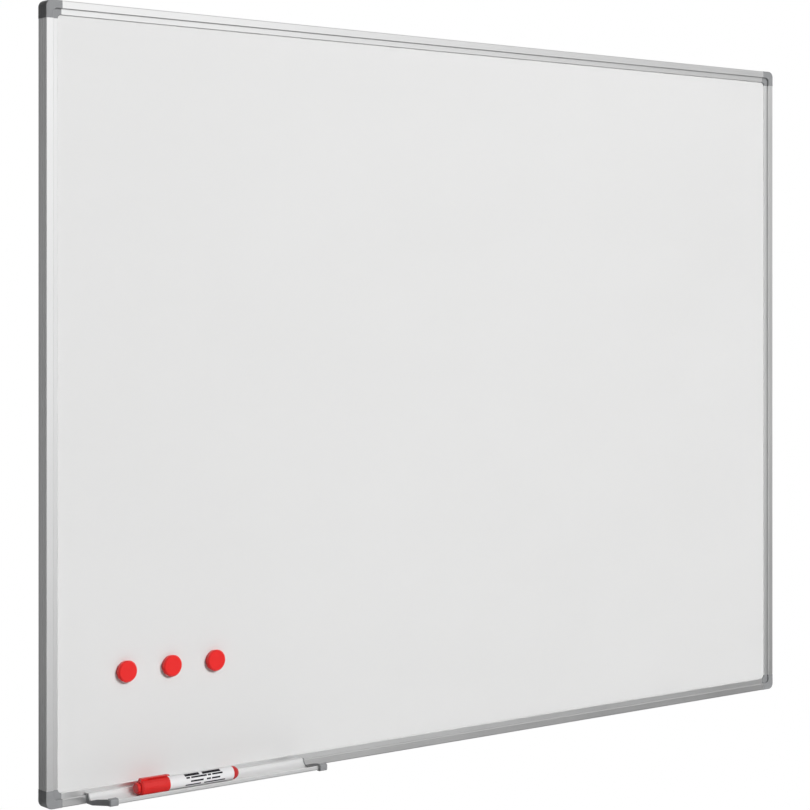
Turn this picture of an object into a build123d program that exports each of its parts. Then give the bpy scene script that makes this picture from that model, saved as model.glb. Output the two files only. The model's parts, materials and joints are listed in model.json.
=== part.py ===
from build123d import *
import os
from math import acos, atan2, cos, hypot, sin, sqrt

# Wall-hung whiteboard, millimetres. X runs along the board, Z is up, the wall is the plane Y = 0 and
# the front looks towards -Y. The origin is the middle of the four wall screws, on the wall.

# Overall sizes
board_width = 1200.0
board_height = 900.0
frame_depth = 18.0

# Frame extrusion: u runs in from the outer edge, v runs forward from the wall
frame_wall = 1.4
frame_inset = 0.3
face_width = 16.0
band_width = 9.4
band_edge_radius = 1.0
band_inner_slope = 0.6
ledge_drop = 2.6
ledge_slope_drop = 0.2
ledge_edge_radius = 0.5
undercut_reach = 1.3
undercut_cover = 1.3
side_groove_width = 0.9
side_groove_depth = 0.35
side_groove_first = 2.1
side_groove_pitch = 4.7
side_groove_count = 3
rear_channel_depth = 4.4
rear_lip_thickness = 1.3
rear_lip_width = 6.0
rear_flange_width = 14.0

# Panel
sheet_setback = 4.5
sheet_thickness = 0.5
core_thickness = 7.2
back_sheet_thickness = 0.3
panel_grip = 7.0
panel_play = 0.4

# Corner caps
cap_leg = 20.5
cap_corner_radius = 8.0
cap_step_radius = 5.0
cap_opening_radius = 5.0
cap_edge_radius = 1.0
tongue_length = 32.0
tongue_play = 0.15
tongue_nose = 0.8

# Wall hooks above and spring clips below
screw_from_side = 60.0
bracket_width = 40.0
bracket_thickness = 1.5
bracket_length = 38.0
bracket_play = 0.4
bracket_corner_radius = 4.0
screw_drop = 26.0
screw_hole_diameter = 5.5
clip_engagement = 1.6
clip_nose_radius = 0.7
clip_spring_width = 16.0
clip_slit_width = 2.0
clip_slit_length = 20.0
rib_width = 5.0
rib_height = 0.8
rib_length = 12.0

# Pen tray: f runs forward from the front of the frame, h runs up from the lower edge of the board
tray_length = 300.0
tray_from_left = 51.5
tray_play = 0.2
tray_wall = 1.5
tray_depth = 46.5
tray_plate_top = 11.3
tray_plate_foot = 0.7
trough_radius = 10.5
trough_floor_height = 2.0
tray_underside_flat = 12.0
tray_underside_rise = 5.6
tray_lip_height = 11.2
tray_lip_thickness = 1.6
tray_lip_foot_radius = 2.0
tray_lip_edge_radius = 0.55
tray_floor_thickness = 1.6

# Tray end caps
end_plate_thickness = 1.4
end_plate_overlap = 0.4
end_rim_width = 0.7
end_wall_height = 4.9
end_wall_start = 6.6
end_wall_full = 21.0
end_wall_radius = 2.0
end_block_width = 11.0
end_block_height = 8.3
end_block_bottom = 5.2
end_block_depth = 6.6
end_block_front = 50.6
end_block_radius = 2.2
end_block_edge = 1.3
end_socket_play = 0.15
peg_radius = 0.9
peg_length = 8.0

# Board marker
marker_from_tray_end = 56.0
cap_length = 42.0
cap_diameter = 17.8
cap_flats = 17.3
cap_flat_count = 8
cap_flat_length = 31.0
cap_nose_diameter = 12.0
cap_nose_length = 4.6
cap_shoulder_diameter = 15.0
cap_shoulder_length = 2.6
cap_mouth_diameter = 17.4
cap_mouth_length = 3.0
cap_wall = 1.4
cap_bore_depth = 32.0
clip_width = 5.6
clip_thickness = 1.1
clip_gap = 0.4
clip_root_length = 9.0
clip_reach = 2.0
clip_start = 5.6
barrel_diameter = 15.5
barrel_length = 88.5
barrel_wall = 1.3
neck_diameter = 14.0
neck_length = 8.0
nib_holder_base_diameter = 13.0
nib_holder_tip_diameter = 7.0
nib_holder_length = 12.0
nib_holder_base_length = 2.5
nib_holder_socket = 6.0
nib_diameter = 4.6
nib_length = 18.0
nib_exposed = 6.0
nib_tip_radius = 1.5
reservoir_diameter = 12.0
reservoir_length = 77.0
plug_length = 9.6
plug_collar_length = 2.4
plug_insert_length = 7.0
plug_insert_diameter = 12.3
marker_fit = 0.05
marker_rest_gap = 0.3

# Magnets
magnet_count = 3
magnet_pitch = 60.5
magnet_first_from_left = 104.5
magnet_height_on_board = 143.0
magnet_diameter = 25.0
magnet_thickness = 7.0
magnet_side_bevel = 1.8
magnet_face_bevel = 1.6
magnet_back_diameter = 23.6
magnet_disc_diameter = 20.0
magnet_disc_thickness = 4.0
magnet_disc_play = 0.1

# One overrun for every cut that runs past a face
overrun = 2.0

# Places worked out from the sizes above
front_v = frame_depth
ledge_v = frame_depth - ledge_drop
ledge_inner_v = ledge_v - ledge_slope_drop
sheet_v = frame_depth - sheet_setback
panel_thickness = sheet_thickness + core_thickness + back_sheet_thickness
panel_back_v = sheet_v - panel_thickness
panel_edge_u = face_width - panel_grip
slot_bottom_u = panel_edge_u - panel_play
undercut_top_v = frame_depth - undercut_cover
undercut_start_u = band_width - undercut_reach
chamber_inner_u = undercut_start_u - frame_wall
chamber_front_v = frame_depth - frame_wall
half_width = board_width / 2
half_height = board_height / 2
screw_left_x = screw_from_side - half_width

tray_left_x = tray_from_left - half_width
tray_right_x = tray_left_x + tray_length
trough_center_f = tray_play + tray_wall + trough_radius
trough_center_h = trough_floor_height + trough_radius
tray_underside_end = tray_plate_foot + tray_underside_rise
tray_floor_end_h = tray_underside_end + tray_floor_thickness

marker_axis_y = -(frame_depth + trough_center_f)
marker_axis_z = trough_floor_height + cap_diameter / 2 + marker_rest_gap - half_height
marker_left_x = tray_left_x + marker_from_tray_end
cap_mouth_x = marker_left_x + cap_length
barrel_end_x = cap_mouth_x + barrel_length


def rounded(sketch, corners, radius):
    """Round the corners of a flat outline that lie nearest the given points."""
    picked = [sketch.vertices().sort_by_distance(corner)[0] for corner in corners]
    return fillet(picked, radius)


def outline(*points):
    """A closed flat face through the points."""
    return make_face(Polyline(*points, close=True))


def block(low, high):
    """A box between two opposite corners given as points of a local plane."""
    size = [high[i] - low[i] for i in range(len(low))]
    return Pos(*low) * Box(*size, align=(Align.MIN, Align.MIN, Align.MIN))


# Frame extrusion
def frame_section():
    """Cross-section of the frame: raised band, undercut, ledge, panel slot, rear channel."""
    outer_u = frame_inset
    section = outline(
        (outer_u, 0),
        (outer_u, front_v),
        (band_width - band_inner_slope, front_v),
        (band_width, front_v - band_inner_slope),
        (band_width, undercut_top_v),
        (undercut_start_u, undercut_top_v),
        (undercut_start_u, ledge_v),
        (band_width, ledge_v),
        (face_width, ledge_inner_v),
        (face_width, sheet_v),
        (slot_bottom_u, sheet_v),
        (slot_bottom_u, panel_back_v),
        (rear_flange_width, panel_back_v),
        (rear_flange_width, rear_channel_depth),
        (outer_u + frame_wall, rear_channel_depth),
        (outer_u + frame_wall, rear_lip_thickness),
        (rear_lip_width, rear_lip_thickness),
        (rear_lip_width, 0),
    )
    section = rounded(section, [(outer_u, front_v)], band_edge_radius)
    section = rounded(section, [(face_width, ledge_inner_v)], ledge_edge_radius)
    chamber_low = (outer_u + frame_wall, panel_back_v)
    chamber_high = (chamber_inner_u, chamber_front_v)
    chamber = outline(
        chamber_low,
        (chamber_low[0], chamber_high[1]),
        chamber_high,
        (chamber_high[0], chamber_low[1]),
    )
    section -= chamber
    for index in range(side_groove_count):
        groove_front = front_v - side_groove_first - index * side_groove_pitch
        section -= outline(
            (outer_u - overrun, groove_front),
            (outer_u + side_groove_depth, groove_front),
            (outer_u + side_groove_depth, groove_front - side_groove_width),
            (outer_u - overrun, groove_front - side_groove_width),
        )
    return section


def frame_rail(origin, inward, length):
    """One straight rail: its outer edge passes through origin and u runs along inward."""
    along = Vector(*inward).cross(Vector(0, -1, 0))
    plane = Plane(origin=origin, x_dir=inward, z_dir=along)
    return extrude(plane * frame_section(), amount=length / 2, both=True)


def frame_rails():
    """The four rails, cut to end at the corner caps."""
    rail_across = board_width - 2 * cap_leg
    rail_up = board_height - 2 * cap_leg
    return {
        "frame_top": frame_rail((0, 0, half_height), (0, 0, -1), rail_across),
        "frame_bottom": frame_rail((0, 0, -half_height), (0, 0, 1), rail_across),
        "frame_left": frame_rail((-half_width, 0, 0), (1, 0, 0), rail_up),
        "frame_right": frame_rail((half_width, 0, 0), (-1, 0, 0), rail_up),
    }


# Corner caps
def cap_plan(inner_edge, inner_radius):
    """L-shaped plan of a cap layer, from the rounded outer corner in to inner_edge."""
    square = Rectangle(cap_leg, cap_leg, align=(Align.MIN, Align.MIN))
    square = rounded(square, [(0, 0)], cap_corner_radius)
    inside = Pos(inner_edge, inner_edge) * Rectangle(cap_leg, cap_leg, align=(Align.MIN, Align.MIN))
    inside = rounded(inside, [(inner_edge, inner_edge)], inner_radius)
    return square - inside


def cap_layer(plan, low, high):
    """Extrude a plan between two heights in front of the wall."""
    return extrude(Pos(0, 0, low) * plan, amount=high - low)


def outer_rim_edges(layer):
    """Edges of a layer's front face that follow the outer corner, not its two cut ends."""
    front = layer.faces().sort_by(Axis.Z)[-1]
    rim = []
    for edge in front.edges():
        middle = edge.center()
        on_outside = min(middle.X, middle.Y) < cap_corner_radius / 2
        at_cut_end = max(middle.X, middle.Y) > cap_leg - cap_edge_radius
        if on_outside and not at_cut_end:
            rim.append(edge)
    return rim


def inner_rim_edges(layer, inner_edge):
    """Edges of a layer's front face that follow the inside of the corner, not its two cut ends."""
    rim = []
    for edge in layer.faces().sort_by(Axis.Z)[-1].edges():
        middle = edge.center()
        on_inside = min(middle.X, middle.Y) > inner_edge - cap_edge_radius
        if on_inside and max(middle.X, middle.Y) < cap_leg:
            rim.append(edge)
    return rim


def corner_cap():
    """Moulded cap for the lower left corner, in the plane of the board seen from the front."""
    body = cap_layer(cap_plan(face_width, cap_opening_radius), 0, ledge_v)
    body = chamfer(inner_rim_edges(body, face_width), ledge_slope_drop)
    band = cap_layer(cap_plan(band_width, cap_step_radius), ledge_v, front_v)
    band = chamfer(inner_rim_edges(band, band_width), band_inner_slope)
    body += fillet(outer_rim_edges(band), cap_edge_radius)
    slot_end = cap_leg + overrun
    body -= block((slot_bottom_u, slot_bottom_u, panel_back_v), (slot_end, slot_end, sheet_v))
    hollow = Rectangle(cap_leg, cap_leg, align=(Align.MIN, Align.MIN))
    hollow = Pos(frame_wall, frame_wall) * hollow
    hollow = rounded(hollow, [(frame_wall, frame_wall)], cap_corner_radius - frame_wall)
    body -= cap_layer(hollow, -overrun, rear_channel_depth)
    tongue_low_u = frame_inset + frame_wall + tongue_play
    tongue_high_u = chamber_inner_u - tongue_play
    tongue_low_v = panel_back_v + tongue_play
    tongue_high_v = chamber_front_v - tongue_play
    tongue = block(
        (cap_leg, tongue_low_u, tongue_low_v),
        (cap_leg + tongue_length, tongue_high_u, tongue_high_v),
    )
    tongue = chamfer(tongue.faces().sort_by(Axis.X)[-1].edges(), tongue_nose)
    other_tongue = mirror(tongue, about=Plane(origin=(0, 0, 0), z_dir=(1, -1, 0)))
    return body + tongue + other_tongue


def corner_caps():
    """The four caps, mirrored from the lower left one."""
    corner_plane = Plane(origin=(-half_width, 0, -half_height), x_dir=(1, 0, 0), z_dir=(0, -1, 0))
    lower_left = corner_plane * corner_cap()
    upper_left = mirror(lower_left, about=Plane.XY)
    return {
        "corner_cap_bottom_left": lower_left,
        "corner_cap_top_left": upper_left,
        "corner_cap_bottom_right": mirror(lower_left, about=Plane.YZ),
        "corner_cap_top_right": mirror(upper_left, about=Plane.YZ),
    }


# Panel
def panel_layer(front, thickness):
    """One flat layer of the panel, its front face at the given height before the wall."""
    size_x = board_width - 2 * panel_edge_u
    size_z = board_height - 2 * panel_edge_u
    align = (Align.CENTER, Align.MIN, Align.CENTER)
    return Pos(0, -front, 0) * Box(size_x, thickness, size_z, align=align)


def panel():
    """Enamelled steel sheet, core board and thin steel backing, bonded face to face."""
    core_front = sheet_v - sheet_thickness
    back_front = core_front - core_thickness
    return {
        "writing_sheet": panel_layer(sheet_v, sheet_thickness),
        "core_board": panel_layer(core_front, core_thickness),
        "back_sheet": panel_layer(back_front, back_sheet_thickness),
    }


# Wall brackets
def bracket_strip(engagement):
    """Side view of a folded bracket, swept across its width: a wall plate and a tab stepped forward."""
    tab_back = rear_lip_thickness + bracket_play
    tab_front = tab_back + bracket_thickness
    plate_top = rear_lip_width + bracket_play
    tab_tip = rear_lip_width - engagement
    strip = outline(
        (plate_top + bracket_length, 0),
        (plate_top + bracket_length, bracket_thickness),
        (plate_top + bracket_thickness, bracket_thickness),
        (plate_top + bracket_thickness, tab_front),
        (tab_tip, tab_front),
        (tab_tip, tab_back),
        (plate_top, tab_back),
        (plate_top, 0),
    )
    return strip


def bracket_plate(engagement):
    """A bracket standing at the left of the board's upper edge, before its holes are cut."""
    plane = Plane(origin=(screw_left_x, 0, half_height), x_dir=(0, 0, -1), z_dir=(-1, 0, 0))
    plate = extrude(plane * bracket_strip(engagement), amount=bracket_width / 2, both=True)
    lower_corners = plate.edges().filter_by(Axis.Y).group_by(Axis.Z)[0]
    plate = fillet(lower_corners, bracket_corner_radius)
    hole = Rot(90, 0, 0) * Cylinder(screw_hole_diameter / 2, bracket_thickness + 2 * overrun)
    return plate - Pos(screw_left_x, -bracket_thickness / 2, half_height - screw_drop) * hole


def wall_hook():
    """Upper bracket: a full-width tab that the rear lip of the top rail hangs on, and two ribs."""
    hook = bracket_plate(rear_lip_width - frame_inset - frame_wall)
    rib_top = half_height - rear_lip_width - bracket_play - bracket_thickness
    for side in (-1, 1):
        rib_x = screw_left_x + side * (bracket_width / 2 - rib_width)
        rib = block(
            (rib_x - rib_width / 2, -bracket_thickness - rib_height, rib_top - rib_length),
            (rib_x + rib_width / 2, -bracket_thickness, rib_top),
        )
        hook += rib
    return hook


def wall_clip():
    """Lower bracket: the same plate, its tab made a narrow round-nosed spring by two slits."""
    clip = bracket_plate(clip_engagement)
    nose = clip.edges().filter_by(Axis.X).group_by(Axis.Z)[-1]
    clip = fillet(nose, clip_nose_radius)
    tab_top = half_height - rear_lip_width + clip_engagement
    plate_top = half_height - rear_lip_width - bracket_play
    for side in (-1, 1):
        slit_x = screw_left_x + side * (clip_spring_width + clip_slit_width) / 2
        clip -= block(
            (slit_x - clip_slit_width / 2, -frame_depth, plate_top - clip_slit_length),
            (slit_x + clip_slit_width / 2, overrun, tab_top + overrun),
        )
    return clip


def wall_brackets():
    """Two hooks above and two clips below, placed by mirroring."""
    hook = wall_hook()
    clip = mirror(wall_clip(), about=Plane.XY)
    return {
        "wall_hook_left": hook,
        "wall_hook_right": mirror(hook, about=Plane.YZ),
        "wall_clip_left": clip,
        "wall_clip_right": mirror(clip, about=Plane.YZ),
    }


# Pen tray
def tray_plane(x):
    """Plane across the tray at x: its first axis is f, forward of the frame, and its second is h, up."""
    return Plane(origin=(x, -frame_depth, -half_height), x_dir=(0, -1, 0), z_dir=(-1, 0, 0))


def trough_height(f, radius):
    """Height of a circle about the trough's centre, below that centre, at forward distance f."""
    return trough_center_h - sqrt(radius ** 2 - (trough_center_f - f) ** 2)


def trough_forward(h, radius):
    """Forward distance of the same circle, behind its centre, at height h."""
    return trough_center_f - sqrt(radius ** 2 - (trough_center_h - h) ** 2)


def floor_start():
    """Point where the floor, which rises to the foot of the lip, leaves the round trough as a tangent."""
    forward = tray_depth - tray_lip_thickness - trough_center_f
    upward = tray_floor_end_h - trough_center_h
    angle = atan2(upward, forward) - acos(trough_radius / hypot(forward, upward))
    return (trough_center_f + trough_radius * cos(angle), trough_center_h + trough_radius * sin(angle))


def floor_height(f):
    """Height of the floor's upper face at forward distance f, in front of the trough."""
    start_f, start_h = floor_start()
    rise = (tray_floor_end_h - start_h) / (tray_depth - tray_lip_thickness - start_f)
    return start_h + rise * (f - start_f)


def tray_section():
    """Cross-section of the tray: plate with hook, hollow heel, round trough, rising floor, lip."""
    lip_back = tray_depth - tray_lip_thickness
    plate_front_top = trough_forward(tray_plate_top, trough_radius)
    middle_f = (plate_front_top + trough_center_f) / 2
    trough_middle = (middle_f, trough_height(middle_f, trough_radius))
    stem_low = band_width + tray_play
    toe_tip = undercut_start_u + tray_play
    toe_front = -undercut_cover - tray_play
    hook_back = tray_play - ledge_drop
    edges = [
        Polyline(
            floor_start(),
            (lip_back, tray_floor_end_h),
            (lip_back, tray_lip_height),
            (tray_depth, tray_lip_height),
            (tray_depth, tray_underside_end),
            (tray_underside_flat, tray_plate_foot),
            (tray_play, tray_plate_foot),
            (tray_play, stem_low),
            (toe_front, stem_low),
            (toe_front, toe_tip),
            (hook_back, toe_tip),
            (hook_back, tray_plate_top),
            (plate_front_top, tray_plate_top),
        ),
        ThreePointArc((plate_front_top, tray_plate_top), trough_middle, floor_start()),
    ]
    section = make_face(Curve() + edges)
    section = rounded(section, [(lip_back, tray_floor_end_h)], tray_lip_foot_radius)
    section = rounded(
        section,
        [(lip_back, tray_lip_height), (tray_depth, tray_lip_height)],
        tray_lip_edge_radius,
    )
    section = rounded(section, [(tray_depth, tray_underside_end)], tray_lip_thickness)
    return section - tray_heel()


def tray_heel():
    """Hollow heel behind the trough, which stiffens the extrusion and takes the end caps' pegs."""
    heel_back = tray_play + tray_wall
    heel_low = tray_plate_foot + tray_wall
    outer = trough_radius + tray_wall
    top = trough_height(heel_back, outer)
    front = trough_forward(heel_low, outer)
    middle_f = (heel_back + front) / 2
    edges = [
        Polyline((heel_back, top), (heel_back, heel_low), (front, heel_low)),
        ThreePointArc((front, heel_low), (middle_f, trough_height(middle_f, outer)), (heel_back, top)),
    ]
    return make_face(Curve() + edges)


def tray_channel():
    """The tray extrusion, between the two end plates."""
    section = tray_plane(tray_left_x + end_plate_thickness) * tray_section()
    return extrude(section, amount=-(tray_length - 2 * end_plate_thickness))


def end_wall_outline():
    """Side view of the end cap's wall: a rim behind the trough, a dip, a guard up to the block."""
    slope = tray_underside_rise / (tray_depth - tray_underside_flat)
    low = tray_plate_foot - end_plate_overlap
    block_back = end_block_front - end_block_depth
    overlap_f = block_back + end_block_depth / 2
    rim_radius = trough_radius - end_rim_width
    rim_top = tray_plate_top + end_plate_overlap
    rim_front = trough_forward(rim_top, rim_radius)
    dip = (end_wall_start, trough_height(end_wall_start, rim_radius))
    middle_f = (rim_front + end_wall_start) / 2
    edges = [
        Polyline(
            (rim_front, rim_top),
            (tray_play, rim_top),
            (tray_play, low),
            (tray_underside_flat, low),
            (overlap_f, low + slope * (overlap_f - tray_underside_flat)),
            (overlap_f, floor_height(block_back) + end_wall_height),
            (block_back, floor_height(block_back) + end_wall_height),
            (end_wall_full, floor_height(end_wall_full) + end_wall_height),
            dip,
        ),
        ThreePointArc(dip, (middle_f, trough_height(middle_f, rim_radius)), (rim_front, rim_top)),
    ]
    return make_face(Curve() + edges)


def tray_end_cap():
    """Left end cap: a wall over the channel's end, a front block that sockets the lip, and a peg."""
    plane = tray_plane(tray_left_x)
    wall_bend = (end_wall_full, floor_height(end_wall_full) + end_wall_height)
    wall_face = rounded(end_wall_outline(), [wall_bend], end_wall_radius)
    wall = extrude(plane * wall_face, amount=-end_plate_thickness)
    block_back = end_block_front - end_block_depth
    block_face = outline(
        (block_back, end_block_bottom),
        (block_back, end_block_bottom + end_block_height),
        (end_block_front, end_block_bottom + end_block_height),
        (end_block_front, end_block_bottom),
    )
    block_face = rounded(
        block_face,
        [(end_block_front, end_block_bottom), (end_block_front, end_block_bottom + end_block_height)],
        end_block_radius,
    )
    front_block = extrude(plane * block_face, amount=-end_block_width)
    outer_side = front_block.faces().sort_by(Axis.X)[0]
    front_block = chamfer(outer_side.edges(), end_block_edge)
    cap = wall + front_block
    socket_plane = tray_plane(tray_left_x + end_plate_thickness)
    socket = extrude(socket_plane * offset(lip_outline(), end_socket_play), amount=-end_block_width)
    cap -= socket
    peg_f = tray_play + tray_wall + peg_radius + end_socket_play
    peg_h = tray_plate_foot + tray_wall + peg_radius + end_socket_play
    peg = extrude(socket_plane * Pos(peg_f, peg_h) * Circle(peg_radius), amount=-peg_length)
    return cap + peg


def lip_outline():
    """Front part of the tray's section with its lip, which the end cap's block receives."""
    lip_back = tray_depth - tray_lip_thickness
    socket_back = end_block_front - end_block_depth - overrun
    slope = tray_underside_rise / (tray_depth - tray_underside_flat)
    socket_low = tray_plate_foot + slope * (socket_back - tray_underside_flat)
    return outline(
        (socket_back, socket_low),
        (tray_depth, tray_underside_end),
        (tray_depth, tray_lip_height),
        (lip_back, tray_lip_height),
        (lip_back, tray_floor_end_h + tray_lip_foot_radius),
        (lip_back - tray_lip_foot_radius, tray_floor_end_h),
        (socket_back, floor_height(socket_back)),
    )


def pen_tray():
    """Channel and its two mirrored end caps."""
    left_cap = tray_end_cap()
    middle = Plane(origin=((tray_left_x + tray_right_x) / 2, 0, 0), z_dir=(1, 0, 0))
    return {
        "tray_channel": tray_channel(),
        "tray_end_cap_left": left_cap,
        "tray_end_cap_right": mirror(left_cap, about=middle),
    }


# Board marker
def turned(points):
    """Solid of revolution about the marker's axis: points are (x along the board, radius)."""
    face = make_face(Polyline(*points, close=True))
    solid = revolve(face, axis=Axis.X)
    return Pos(0, marker_axis_y, marker_axis_z) * solid


def dome_radius(half_chord, height):
    """Radius of the sphere whose cap has this half width and height."""
    return (half_chord ** 2 + height ** 2) / (2 * height)


def cap_clip():
    """Pocket clip over the cap: a strip joined to it near the nose, its free end just past the mouth."""
    low = cap_diameter / 2 + clip_gap
    top = low + clip_thickness
    start_x = marker_left_x + clip_start
    root_x = start_x + clip_root_length
    end_x = cap_mouth_x + clip_reach
    profile = outline(
        (start_x, cap_diameter / 2 - cap_wall),
        (start_x, low),
        (start_x + clip_thickness, top),
        (end_x - clip_gap, top),
        (end_x, top - clip_gap),
        (end_x, low),
        (root_x, low),
        (root_x, cap_diameter / 2 - cap_wall),
    )
    strip = extrude(Plane.XZ * profile, amount=clip_width / 2, both=True)
    return Pos(0, marker_axis_y, marker_axis_z) * strip


def marker_cap():
    """Pull-off cap: narrow nose, sloped shoulder, soft facets, round mouth, bore, pocket clip."""
    shoulder_x = marker_left_x + cap_nose_length
    body_x = shoulder_x + cap_shoulder_length
    mouth_x = cap_mouth_x - cap_mouth_length
    bore_radius = cap_mouth_diameter / 2 - cap_wall
    bore_x = cap_mouth_x - cap_bore_depth
    nose_radius = cap_nose_diameter / 2
    shell = turned([
        (marker_left_x, 0),
        (marker_left_x, nose_radius - cap_wall / 2),
        (marker_left_x + cap_wall / 2, nose_radius),
        (shoulder_x, nose_radius),
        (shoulder_x, cap_shoulder_diameter / 2),
        (body_x, cap_diameter / 2),
        (mouth_x, cap_diameter / 2),
        (mouth_x, cap_mouth_diameter / 2),
        (cap_mouth_x, cap_mouth_diameter / 2),
        (cap_mouth_x, bore_radius),
        (bore_x, bore_radius),
        (bore_x, 0),
    ])
    flats = RegularPolygon(cap_flats / 2, cap_flat_count, major_radius=False)
    flats_plane = Plane(origin=(shoulder_x, marker_axis_y, marker_axis_z), z_dir=(1, 0, 0))
    ring = Circle(cap_diameter) - flats
    return shell - extrude(flats_plane * ring, amount=cap_flat_length) + cap_clip()


def marker_barrel():
    """Tube of the marker with a stepped neck that the cap grips, open at both ends."""
    bore = barrel_diameter / 2 - barrel_wall
    return turned([
        (cap_mouth_x - neck_length, bore),
        (cap_mouth_x - neck_length, neck_diameter / 2),
        (cap_mouth_x, neck_diameter / 2),
        (cap_mouth_x, barrel_diameter / 2),
        (barrel_end_x, barrel_diameter / 2),
        (barrel_end_x, bore),
    ])


def marker_end_plug():
    """Domed plug pressed into the end of the barrel."""
    collar_x = barrel_end_x + plug_collar_length
    dome_end = barrel_end_x + plug_length
    insert_x = barrel_end_x - plug_insert_length
    radius = barrel_diameter / 2
    edges = [
        Polyline(
            (dome_end, 0),
            (insert_x, 0),
            (insert_x, plug_insert_diameter / 2),
            (barrel_end_x, plug_insert_diameter / 2),
            (barrel_end_x, radius),
            (collar_x, radius),
        ),
        RadiusArc((dome_end, 0), (collar_x, radius), -dome_radius(radius, dome_end - collar_x)),
    ]
    solid = revolve(make_face(Curve() + edges), axis=Axis.X)
    return Pos(0, marker_axis_y, marker_axis_z) * solid


def marker_nib_holder():
    """Stepped holder in the mouth of the barrel that carries the nib."""
    base_x = cap_mouth_x - neck_length
    step_x = base_x - nib_holder_base_length
    bore = nib_diameter / 2 + marker_fit
    socket_radius = barrel_diameter / 2 - barrel_wall - marker_fit
    return turned([
        (base_x - nib_holder_length, bore),
        (base_x - nib_holder_length, nib_holder_tip_diameter / 2),
        (step_x, nib_holder_tip_diameter / 2),
        (step_x, nib_holder_base_diameter / 2),
        (base_x, nib_holder_base_diameter / 2),
        (base_x, socket_radius),
        (base_x + nib_holder_socket, socket_radius),
        (base_x + nib_holder_socket, bore),
    ])


def marker_nib():
    """Bullet nib of pressed felt, tapering to a round tip."""
    shoulder_x = cap_mouth_x - neck_length - nib_holder_length
    tip_x = shoulder_x - nib_exposed
    end_x = tip_x + nib_length
    radius = nib_diameter / 2
    tip_center_x = tip_x + nib_tip_radius
    edges = [
        CenterArc((tip_center_x, 0), nib_tip_radius, start_angle=90, arc_size=90),
        Polyline(
            (tip_x, 0),
            (end_x, 0),
            (end_x, radius),
            (shoulder_x, radius),
            (tip_center_x, nib_tip_radius),
        ),
    ]
    solid = revolve(make_face(Curve() + edges), axis=Axis.X)
    return Pos(0, marker_axis_y, marker_axis_z) * solid


def marker_ink_reservoir():
    """Fibre rod that holds the ink, from the nib holder back towards the plug."""
    start_x = cap_mouth_x - neck_length + nib_holder_socket + marker_fit
    end_x = start_x + reservoir_length
    radius = reservoir_diameter / 2
    return turned([(start_x, 0), (start_x, radius), (end_x, radius), (end_x, 0)])


def board_marker():
    """All pieces of the marker."""
    return {
        "marker_cap": marker_cap(),
        "marker_barrel": marker_barrel(),
        "marker_end_plug": marker_end_plug(),
        "marker_nib_holder": marker_nib_holder(),
        "marker_nib": marker_nib(),
        "marker_ink_reservoir": marker_ink_reservoir(),
    }


# Magnets
def magnet_shell():
    """Round plastic shell with a bevelled front edge and a pocket behind for the magnet."""
    radius = magnet_diameter / 2
    pocket = magnet_disc_diameter / 2 + magnet_disc_play
    pocket_floor = magnet_disc_thickness + magnet_disc_play
    profile = outline(
        (0, pocket_floor),
        (pocket, pocket_floor),
        (pocket, 0),
        (magnet_back_diameter / 2, 0),
        (radius, magnet_thickness - magnet_side_bevel),
        (radius - magnet_face_bevel, magnet_thickness),
        (0, magnet_thickness),
    )
    return revolve(profile, axis=Axis.Y)


def magnets():
    """Three magnets in a row, each a shell and a ferrite disc, flat on the writing sheet."""
    pieces = {}
    shell = magnet_shell()
    disc = Rot(-90, 0, 0) * Cylinder(
        magnet_disc_diameter / 2,
        magnet_disc_thickness,
        align=(Align.CENTER, Align.CENTER, Align.MIN),
    )
    for index in range(magnet_count):
        x = magnet_first_from_left - half_width + index * magnet_pitch
        z = magnet_height_on_board - half_height
        place = Pos(x, -sheet_v, z) * Rot(180, 0, 0)
        pieces[f"magnet_shell_{index + 1}"] = place * shell
        pieces[f"magnet_disc_{index + 1}"] = place * disc
    return pieces


# Write every piece
os.makedirs("parts", exist_ok=True)
pieces = {}
for make in (frame_rails, corner_caps, panel, wall_brackets, pen_tray, board_marker, magnets):
    pieces.update(make())
for name, solid in pieces.items():
    export_step(solid, f"parts/{name}.step")
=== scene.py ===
import json
import math

import bmesh
import bpy
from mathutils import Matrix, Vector

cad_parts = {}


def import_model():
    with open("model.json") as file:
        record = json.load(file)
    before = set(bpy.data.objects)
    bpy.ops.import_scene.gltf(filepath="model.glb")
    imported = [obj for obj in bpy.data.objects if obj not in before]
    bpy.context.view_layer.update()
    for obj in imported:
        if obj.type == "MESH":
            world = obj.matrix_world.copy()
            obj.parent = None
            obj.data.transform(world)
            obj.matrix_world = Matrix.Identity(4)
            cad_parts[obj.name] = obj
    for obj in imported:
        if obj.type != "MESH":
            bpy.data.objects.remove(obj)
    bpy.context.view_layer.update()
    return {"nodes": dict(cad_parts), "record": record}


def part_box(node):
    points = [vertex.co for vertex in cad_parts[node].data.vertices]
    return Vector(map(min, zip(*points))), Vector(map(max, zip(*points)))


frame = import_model()

# Camera: the photograph's viewpoint, worked out from the corners of the board (pixels, sensor millimetres,
# metres, radians)
IMAGE_SIDE = 810
FOCAL_PIXELS = 2133.87
PRINCIPAL_ROW = 303.87
SENSOR_WIDTH = 36.0
CAMERA_PLACE = (-1.7727, -2.1097, 0.1116)
CAMERA_YAW = math.radians(38.82)

# Marker, read from the frame
BARREL_LOW, BARREL_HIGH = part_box("marker_barrel")
MARKER_AXIS = ((BARREL_LOW.y + BARREL_HIGH.y) / 2, (BARREL_LOW.z + BARREL_HIGH.z) / 2)

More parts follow.
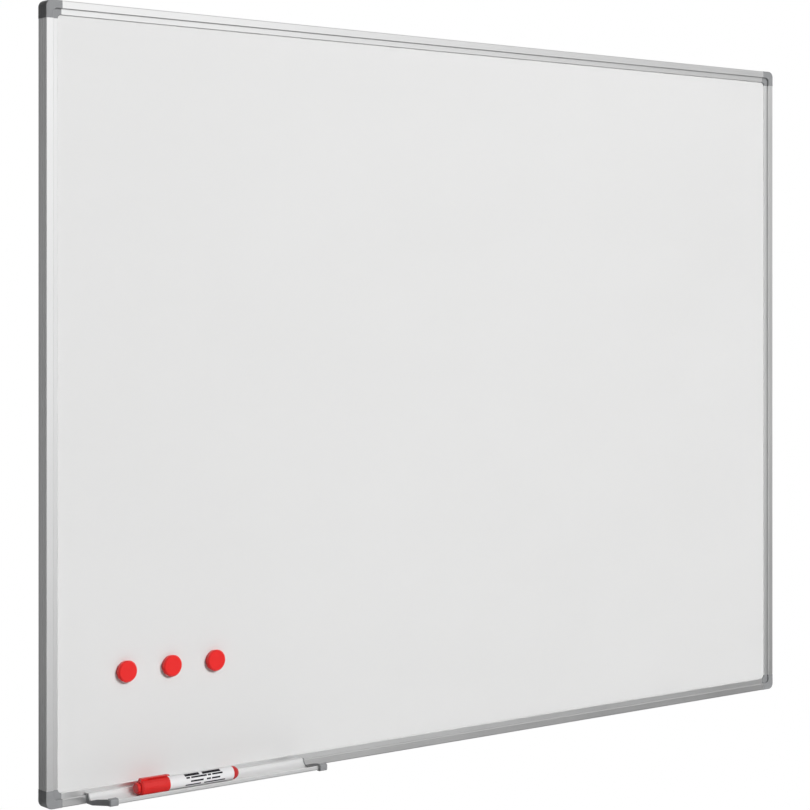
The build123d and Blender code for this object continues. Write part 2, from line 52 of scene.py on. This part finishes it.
# Rows of plain bars printed on the barrel: degrees above its front, thickness, and where each bar of the row
# starts and ends, in millimetres leftwards from the barrel's right end; then half the width over which the
# edge of a bar fades
PRINT_ROWS = (
    (62, 4.2, ((67, 47), (43, 18))),
    (32, 2.0, ((66, 61), (59.5, 38), (36.5, 32), (30.5, 16))),
    (-1, 1.9, ((60.5, 43), (38.5, 33), (31.5, 20))),
    (-33, 1.9, ((67, 46), (41.5, 12.5))),
)
PRINT_EDGE = 0.12
MILLIMETRE = 0.001

# Index of the axis that the drawing lines of an extrusion follow, and how far they are drawn out along it
ALONG_X, ALONG_Z = 0, 2
DRAWING_LINE_STRETCH = 0.004

# Stage, in metres: the floor, the distances at which it starts and ends fading to white, and the room whose
# walls, ceiling and ground the cards stand for, as its low and its high corner; the ground's card lies just
# over the floor
FLOOR_HEIGHT = -1.35
FLOOR_RADIUS = 2.4
FLOOR_FADE = (1.3, 2.3)
FLOOR_SEGMENTS = 96
ROOM_LOW, ROOM_HIGH = (-9.0, -4.5, -6.0), (11.0, 4.0, 7.0)
CEILING_HEIGHT = 3.4
GROUND_CARD_HEIGHT = FLOOR_HEIGHT + 0.04
SIDE_CARD_X = -3.4
SIDE_CARD_LOW, SIDE_CARD_HIGH = (-4.0, -4.0), (7.0, 4.0)

# Soft boxes aimed at the middle of the board: name, place, side in metres, watts
LAMPS = (
    ("key_lamp", (1.0, -6.2, 2.5), 0.8, 340),
    ("fill_lamp", (1.0, -4.6, 4.0), 4.5, 66),
    ("back_lamp", (3.0, 4.5, 2.5), 3.0, 320),
)
AMBIENT_LIGHT = 0.06


class Nodes:
    """A node tree that is filled one node at a time."""

    def __init__(self, tree):
        self.tree = tree

    def add(self, kind, inputs=None, **settings):
        node = self.tree.nodes.new(kind)
        for name, value in settings.items():
            setattr(node, name, value)
        for name, value in (inputs or {}).items():
            self.feed(node.inputs[name], value)
        return node

    def feed(self, socket, value):
        if isinstance(value, bpy.types.NodeSocket):
            self.tree.links.new(value, socket)
        else:
            socket.default_value = value

    def math(self, operation, first, second=0.0):
        node = self.add("ShaderNodeMath", operation=operation)
        self.feed(node.inputs[0], first)
        self.feed(node.inputs[1], second)
        return node.outputs[0]

    def span(self, value, low, high, to_low=0.0, to_high=1.0):
        """Eases from to_low to to_high while value goes from low to high."""
        node = self.add("ShaderNodeMapRange", interpolation_type="SMOOTHSTEP")
        self.feed(node.inputs["Value"], value)
        limits = {"From Min": low, "From Max": high, "To Min": to_low, "To Max": to_high}
        for name, number in limits.items():
            node.inputs[name].default_value = number
        return node.outputs[0]

    def place(self):
        """The point on the piece, in metres."""
        return self.add("ShaderNodeTexCoord").outputs["Object"]

    def place_xyz(self):
        """The same point as three separate sockets."""
        return self.add("ShaderNodeSeparateXYZ", {"Vector": self.place()}).outputs

    def noise(self, scale, detail=3.0, stretch=(1, 1, 1)):
        mapping = self.add("ShaderNodeMapping", {"Vector": self.place(), "Scale": stretch})
        inputs = {"Vector": mapping.outputs[0], "Scale": scale, "Detail": detail}
        return self.add("ShaderNodeTexNoise", inputs).outputs["Fac"]

    def tint(self, factor, low, high):
        """Mixes two colours, each a triple or a socket."""
        node = self.add("ShaderNodeMix", data_type="RGBA")
        self.feed(node.inputs[0], factor)
        for socket, colour in ((node.inputs[6], low), (node.inputs[7], high)):
            self.feed(socket, colour if isinstance(colour, bpy.types.NodeSocket) else (*colour, 1))
        return node.outputs[2]

    def bump(self, height, distance):
        return self.add("ShaderNodeBump", {"Height": height, "Distance": distance}).outputs[0]


def finish_of(name, metallic=0.0, coat=0.0, coat_roughness=0.1):
    """A fresh material with its node tree and its shader."""
    made = bpy.data.materials.new(name)
    made.use_nodes = True
    shader = made.node_tree.nodes["Principled BSDF"]
    shader.inputs["Metallic"].default_value = metallic
    shader.inputs["Coat Weight"].default_value = coat
    shader.inputs["Coat Roughness"].default_value = coat_roughness
    return made, Nodes(made.node_tree), shader.inputs


# Finishes
def anodised_aluminium(name, along, metallic=0.92, roughness=0.29):
    """Satin natural anodising over the fine drawing lines that run the length of an extrusion."""
    made, nodes, inputs = finish_of(name, metallic=metallic)
    stretch = [1.0, 1.0, 1.0]
    stretch[along] = DRAWING_LINE_STRETCH
    lines = nodes.noise(1100.0, 4.0, stretch)
    cloud = nodes.noise(9.0, 2.0)
    tone = nodes.math("ADD", nodes.math("MULTIPLY", lines, 0.6), nodes.math("MULTIPLY", cloud, 0.4))
    nodes.feed(inputs["Base Color"], nodes.tint(tone, (0.755, 0.757, 0.758), (0.875, 0.877, 0.876)))
    nodes.feed(inputs["Roughness"], nodes.span(tone, 0.3, 0.7, roughness, roughness + 0.09))
    nodes.feed(inputs["Normal"], nodes.bump(lines, 0.000012))
    return made


def grey_plastic(name):
    """Moulded grey plastic with a fine spark-eroded texture."""
    made, nodes, inputs = finish_of(name)
    grain = nodes.noise(2600.0, 2.0)
    cloud = nodes.noise(60.0, 3.0)
    nodes.feed(inputs["Base Color"], nodes.tint(cloud, (0.255, 0.26, 0.267), (0.300, 0.305, 0.312)))
    nodes.feed(inputs["Roughness"], nodes.span(grain, 0.3, 0.7, 0.42, 0.56))
    nodes.feed(inputs["Normal"], nodes.bump(grain, 0.00003))
    return made


def white_enamel(name):
    """Vitreous enamel: a glassy coat over white, with a faint waviness and dry-wipe haze."""
    made, nodes, inputs = finish_of(name, coat=0.35, coat_roughness=0.12)
    wave = nodes.noise(70.0, 2.0)
    haze = nodes.noise(3.2, 5.0, (1.0, 1.0, 2.2))
    nodes.feed(inputs["Base Color"], nodes.tint(haze, (0.765, 0.765, 0.762), (0.785, 0.785, 0.783)))
    nodes.feed(inputs["Roughness"], nodes.span(haze, 0.3, 0.7, 0.30, 0.40))
    nodes.feed(inputs["Normal"], nodes.bump(wave, 0.00002))
    return made


def fibre_core(name):
    """Raw pressed fibreboard."""
    made, nodes, inputs = finish_of(name)
    fibre = nodes.noise(900.0, 5.0, (1.0, 0.3, 1.0))
    nodes.feed(inputs["Base Color"], nodes.tint(fibre, (0.36, 0.25, 0.15), (0.58, 0.44, 0.29)))
    nodes.feed(inputs["Roughness"], nodes.span(fibre, 0.2, 0.8, 0.85, 0.95))
    nodes.feed(inputs["Normal"], nodes.bump(fibre, 0.0001))
    return made


def galvanised_steel(name):
    """Dull zinc with the spangle that hot dipping leaves."""
    made, nodes, inputs = finish_of(name, metallic=0.85)
    spangle = nodes.add("ShaderNodeTexVoronoi", {"Vector": nodes.place(), "Scale": 90.0}).outputs["Color"]
    grey = nodes.add("ShaderNodeRGBToBW", {"Color": spangle}).outputs[0]
    cloud = nodes.noise(14.0, 3.0)
    tone = nodes.math("ADD", nodes.math("MULTIPLY", grey, 0.55), nodes.math("MULTIPLY", cloud, 0.45))
    nodes.feed(inputs["Base Color"], nodes.tint(tone, (0.44, 0.45, 0.46), (0.66, 0.67, 0.68)))
    nodes.feed(inputs["Roughness"], nodes.span(tone, 0.2, 0.8, 0.42, 0.6))
    nodes.feed(inputs["Normal"], nodes.bump(cloud, 0.00004))
    return made


def zinc_plated_steel(name):
    """Bright plating over pressed steel."""
    made, nodes, inputs = finish_of(name, metallic=1.0)
    grain = nodes.noise(700.0, 4.0, (1.0, 1.0, 0.08))
    nodes.feed(inputs["Base Color"], nodes.tint(grain, (0.60, 0.61, 0.62), (0.74, 0.75, 0.77)))
    nodes.feed(inputs["Roughness"], nodes.span(grain, 0.3, 0.7, 0.24, 0.38))
    nodes.feed(inputs["Normal"], nodes.bump(grain, 0.00002))
    return made


def moulded_plastic(name, dark, light, roughness):
    """Smooth coloured plastic with the faint flow marks of moulding."""
    made, nodes, inputs = finish_of(name, coat=0.06, coat_roughness=0.2)
    flow = nodes.noise(160.0, 3.0, (0.3, 1.0, 1.0))
    grain = nodes.noise(3200.0, 1.0)
    nodes.feed(inputs["Base Color"], nodes.tint(flow, dark, light))
    nodes.feed(inputs["Roughness"], nodes.span(grain, 0.3, 0.7, roughness, roughness + 0.08))
    nodes.feed(inputs["Normal"], nodes.bump(grain, 0.000008))
    return made


def bars_on_barrel(nodes):
    """1 on the plain printed bars that run along the barrel, 0 elsewhere."""
    x, y, z = nodes.place_xyz()
    forward = nodes.math("SUBTRACT", MARKER_AXIS[0], y)
    up = nodes.math("SUBTRACT", z, MARKER_AXIS[1])
    angle = nodes.math("ARCTAN2", up, forward)
    leftwards = nodes.math("DIVIDE", nodes.math("SUBTRACT", BARREL_HIGH.x, x), MILLIMETRE)
    radius = (BARREL_HIGH.y - BARREL_LOW.y) / 2 / MILLIMETRE
    total = 0.0
    for degrees, thickness, bars in PRINT_ROWS:
        away = nodes.math("ABSOLUTE", nodes.math("SUBTRACT", angle, math.radians(degrees)))
        half = thickness / 2
        distance = nodes.math("MULTIPLY", away, radius)
        across = nodes.span(distance, half - PRINT_EDGE, half + PRINT_EDGE, 1.0, 0.0)
        for left_end, right_end in bars:
            after_left = nodes.span(leftwards, left_end - PRINT_EDGE, left_end + PRINT_EDGE, 1.0, 0.0)
            before_right = nodes.span(leftwards, right_end - PRINT_EDGE, right_end + PRINT_EDGE)
            bar = nodes.math("MULTIPLY", across, nodes.math("MULTIPLY", after_left, before_right))
            total = nodes.math("MAXIMUM", total, bar)
    return total


def printed_barrel(name):
    """Glossy white plastic with the plain bars printed on it."""
    made, nodes, inputs = finish_of(name, coat_roughness=0.15)
    flow = nodes.noise(120.0, 3.0, (0.2, 1.0, 1.0))
    white = nodes.tint(flow, (0.80, 0.80, 0.81), (0.85, 0.85, 0.86))
    bars = bars_on_barrel(nodes)
    nodes.feed(inputs["Base Color"], nodes.tint(bars, white, (0.012, 0.012, 0.015)))
    nodes.feed(inputs["Roughness"], nodes.span(bars, 0.0, 1.0, 0.26, 0.5))
    nodes.feed(inputs["Coat Weight"], nodes.span(bars, 0.0, 1.0, 0.2, 0.0))
    nodes.feed(inputs["Specular IOR Level"], nodes.span(bars, 0.0, 1.0, 0.5, 0.15))
    nodes.feed(inputs["Normal"], nodes.bump(nodes.noise(2400.0, 1.0), 0.000008))
    return made


def inked_fibre(name, dark, light, stretch):
    """Felt or bonded fibre soaked in ink."""
    made, nodes, inputs = finish_of(name)
    fibre = nodes.noise(2800.0, 5.0, stretch)
    nodes.feed(inputs["Base Color"], nodes.tint(fibre, dark, light))
    nodes.feed(inputs["Roughness"], nodes.span(fibre, 0.2, 0.8, 0.75, 0.95))
    nodes.feed(inputs["Normal"], nodes.bump(fibre, 0.00008))
    return made


def ferrite(name):
    """Sintered dull black ceramic."""
    made, nodes, inputs = finish_of(name)
    grain = nodes.noise(1800.0, 4.0)
    nodes.feed(inputs["Base Color"], nodes.tint(grain, (0.06, 0.06, 0.065), (0.12, 0.12, 0.13)))
    nodes.feed(inputs["Roughness"], nodes.span(grain, 0.3, 0.7, 0.5, 0.68))
    nodes.feed(inputs["Normal"], nodes.bump(grain, 0.00004))
    return made


finishes = {
    "grey_plastic": grey_plastic("grey_plastic"),
    "white_enamel": white_enamel("white_enamel"),
    "fibre_core": fibre_core("fibre_core"),
    "galvanised_steel": galvanised_steel("galvanised_steel"),
    "zinc_plated_steel": zinc_plated_steel("zinc_plated_steel"),
    "red_plastic": moulded_plastic("red_plastic", (0.66, 0.010, 0.009), (0.72, 0.014, 0.012), 0.34),
    "white_plastic": moulded_plastic("white_plastic", (0.80, 0.80, 0.81), (0.85, 0.85, 0.86), 0.28),
    "ink_felt": inked_fibre("ink_felt", (0.30, 0.010, 0.010), (0.52, 0.03, 0.03), (1, 1, 1)),
    "ink_fibre": inked_fibre("ink_fibre", (0.36, 0.02, 0.02), (0.60, 0.06, 0.06), (0.05, 1, 1)),
    "magnet_red": moulded_plastic("magnet_red", (0.82, 0.010, 0.009), (0.88, 0.014, 0.012), 0.30),
    "ferrite": ferrite("ferrite"),
}
own_finish = {
    "marker_barrel": printed_barrel("printed_barrel"),
    "marker_end_plug": moulded_plastic("plug_plastic", (0.47, 0.010, 0.012), (0.52, 0.014, 0.016), 0.34),
}
aluminium_across = anodised_aluminium("anodised_aluminium_across", ALONG_X)
aluminium_up = anodised_aluminium("anodised_aluminium_up", ALONG_Z)
for rail in ("frame_top", "frame_bottom"):
    own_finish[rail] = aluminium_across
for rail in ("frame_left", "frame_right"):
    own_finish[rail] = aluminium_up
own_finish["tray_channel"] = anodised_aluminium(
    "anodised_aluminium_tray", ALONG_X, metallic=0.68, roughness=0.42
)

for part in frame["record"]["subparts"]:
    piece = frame["nodes"][part["node"]]
    chosen = own_finish.get(part["node"]) or finishes[part["material_slot"]]
    if not piece.material_slots:
        piece.data.materials.append(chosen)
    for slot in piece.material_slots:
        slot.material = chosen


# Studio: what stands round the object
def card(name, corners, tone):
    """A flat studio card that only reflections see; tone makes its brightness from its own nodes."""
    mesh = bpy.data.meshes.new(name)
    shape = bmesh.new()
    shape.faces.new([shape.verts.new(corner) for corner in corners])
    shape.to_mesh(mesh)
    shape.free()
    made = bpy.data.objects.new(name, mesh)
    bpy.context.scene.collection.objects.link(made)
    paint = bpy.data.materials.new(name)
    paint.use_nodes = True
    paint.node_tree.nodes.clear()
    nodes = Nodes(paint.node_tree)
    glow = nodes.add("ShaderNodeEmission", {"Strength": tone(nodes)})
    nodes.add("ShaderNodeOutputMaterial", {"Surface": glow.outputs[0]})
    mesh.materials.append(paint)
    made.visible_camera = False
    made.visible_diffuse = False
    made.visible_shadow = False
    made.visible_transmission = False


def room_wall_tone(nodes):
    """The wall behind the camera: lit from above, darker to the right and at its left end."""
    x, _, z = nodes.place_xyz()
    upward = nodes.span(z, low=-2.5, high=1.4, to_low=0.71, to_high=1.24)
    rightward = nodes.span(x, low=1.6, high=7.5, to_low=1.0, to_high=0.2)
    leftward = nodes.span(x, low=-3.0, high=-0.5, to_low=0.35, to_high=1.0)
    return nodes.math("MULTIPLY", nodes.math("MULTIPLY", upward, rightward), leftward)


def side_wall_tone(nodes):
    """The wall at the left: dim, with a bright window level with the viewer."""
    _, y, _ = nodes.place_xyz()
    window_front = nodes.span(y, low=-3.9, high=-3.1)
    window_back = nodes.span(y, low=-2.2, high=-1.4, to_low=1.3, to_high=0.0)
    return nodes.math("ADD", nodes.math("MULTIPLY", window_front, window_back), 0.18)


def ceiling_tone(nodes):
    """The ceiling: dark behind the board, lighter in front of it."""
    _, y, _ = nodes.place_xyz()
    return nodes.span(y, low=-0.8, high=0.4, to_low=0.62, to_high=0.07)


def dark_floor_tone(nodes):
    """The ground as metal sees it: dark, with a lighter strip in front that fades to the right."""
    x, y, _ = nodes.place_xyz()
    strip = nodes.span(y, low=-3.1, high=-2.6, to_low=1.0, to_high=0.0)
    rightward = nodes.span(x, low=0.8, high=4.6, to_low=0.52, to_high=0.02)
    return nodes.math("ADD", nodes.math("MULTIPLY", strip, rightward), 0.09)


def back_wall_tone(nodes):
    """The wall behind the board: dimmer at its left, which the left rail's outer side mirrors."""
    x, _, _ = nodes.place_xyz()
    return nodes.span(x, low=-2.4, high=-1.0, to_low=0.23, to_high=0.72)


def level_card(name, height, tone):
    """A card the size of the room, at one height."""
    (left, front, _), (right, back, _) = ROOM_LOW, ROOM_HIGH
    outline = ((left, front), (right, front), (right, back), (left, back))
    card(name, [(x, y, height) for x, y in outline], tone)


def upright_card(name, depth, tone):
    """A card the width and height of the room, facing along y."""
    (left, _, low), (right, _, high) = ROOM_LOW, ROOM_HIGH
    outline = ((left, low), (right, low), (right, high), (left, high))
    card(name, [(x, depth, z) for x, z in outline], tone)


def left_card(name, place, tone):
    """A card at the left of the board, facing along x."""
    (front, low), (back, high) = SIDE_CARD_LOW, SIDE_CARD_HIGH
    outline = ((front, low), (back, low), (back, high), (front, high))
    card(name, [(place, y, z) for y, z in outline], tone)


upright_card("room_wall", ROOM_LOW[1], room_wall_tone)
upright_card("back_wall", ROOM_HIGH[1], back_wall_tone)
level_card("ceiling", CEILING_HEIGHT, ceiling_tone)
level_card("dark_floor", GROUND_CARD_HEIGHT, dark_floor_tone)
left_card("side_wall", SIDE_CARD_X, side_wall_tone)


def floor():
    """Pale floor under the hung board; it fades into the white background at its rim."""
    mesh = bpy.data.meshes.new("floor")
    shape = bmesh.new()
    bmesh.ops.create_circle(shape, cap_ends=True, radius=FLOOR_RADIUS, segments=FLOOR_SEGMENTS)
    bmesh.ops.translate(shape, verts=shape.verts, vec=(0, 0, FLOOR_HEIGHT))
    shape.to_mesh(mesh)
    shape.free()
    made = bpy.data.objects.new("floor", mesh)
    bpy.context.scene.collection.objects.link(made)
    paint = bpy.data.materials.new("floor_paint")
    paint.use_nodes = True
    nodes = Nodes(paint.node_tree)
    shader = paint.node_tree.nodes["Principled BSDF"]
    shader.inputs["Base Color"].default_value = (0.86, 0.86, 0.86, 1)
    shader.inputs["Roughness"].default_value = 0.8
    reach = nodes.add("ShaderNodeVectorMath", {0: nodes.place()}, operation="LENGTH").outputs["Value"]
    fade_start, fade_end = (math.hypot(distance, FLOOR_HEIGHT) for distance in FLOOR_FADE)
    rim = nodes.span(reach, fade_start, fade_end)
    seen = nodes.add("ShaderNodeLightPath").outputs["Is Camera Ray"]
    glow = nodes.add("ShaderNodeEmission", {"Strength": 1.0})
    parts = {0: nodes.math("MULTIPLY", rim, seen), 1: shader.outputs[0], 2: glow.outputs[0]}
    mix = nodes.add("ShaderNodeMixShader", parts)
    output = paint.node_tree.nodes["Material Output"]
    nodes.feed(output.inputs["Surface"], mix.outputs[0])
    mesh.materials.append(paint)


floor()


def soft_lamp(name, place, side, power):
    """A square soft box aimed at the middle of the board; the cards stand for it in reflections."""
    lamp = bpy.data.lights.new(name, "AREA")
    lamp.size = side
    lamp.energy = power
    made = bpy.data.objects.new(name, lamp)
    made.location = place
    made.rotation_euler = (-Vector(place)).to_track_quat("-Z", "Y").to_euler()
    made.visible_glossy = False
    bpy.context.scene.collection.objects.link(made)


for lamp_row in LAMPS:
    soft_lamp(*lamp_row)


def world(ambient):
    """White wherever the camera, metal or glass looks; a low even light for the rest."""
    made = bpy.data.worlds.new("studio")
    bpy.context.scene.world = made
    made.use_nodes = True
    made.node_tree.nodes.clear()
    nodes = Nodes(made.node_tree)
    rays = nodes.add("ShaderNodeLightPath").outputs
    seen = nodes.math("MAXIMUM", rays["Is Camera Ray"], rays["Is Glossy Ray"])
    seen = nodes.math("MAXIMUM", seen, rays["Is Transmission Ray"])
    strength = nodes.span(seen, 0.0, 1.0, ambient, 1.0)
    back = nodes.add("ShaderNodeBackground", {"Color": (1, 1, 1, 1), "Strength": strength})
    nodes.add("ShaderNodeOutputWorld", {"Surface": back.outputs[0]})


world(AMBIENT_LIGHT)


# Camera
lens = bpy.data.cameras.new("camera")
lens.sensor_width = SENSOR_WIDTH
lens.lens = FOCAL_PIXELS / IMAGE_SIDE * SENSOR_WIDTH
lens.shift_y = (PRINCIPAL_ROW - IMAGE_SIDE / 2) / IMAGE_SIDE
camera = bpy.data.objects.new("camera", lens)
camera.location = CAMERA_PLACE
camera.rotation_euler = (math.pi / 2, 0, -CAMERA_YAW)
bpy.context.scene.collection.objects.link(camera)
bpy.context.scene.camera = camera
bpy.context.scene.view_settings.view_transform = "Standard"
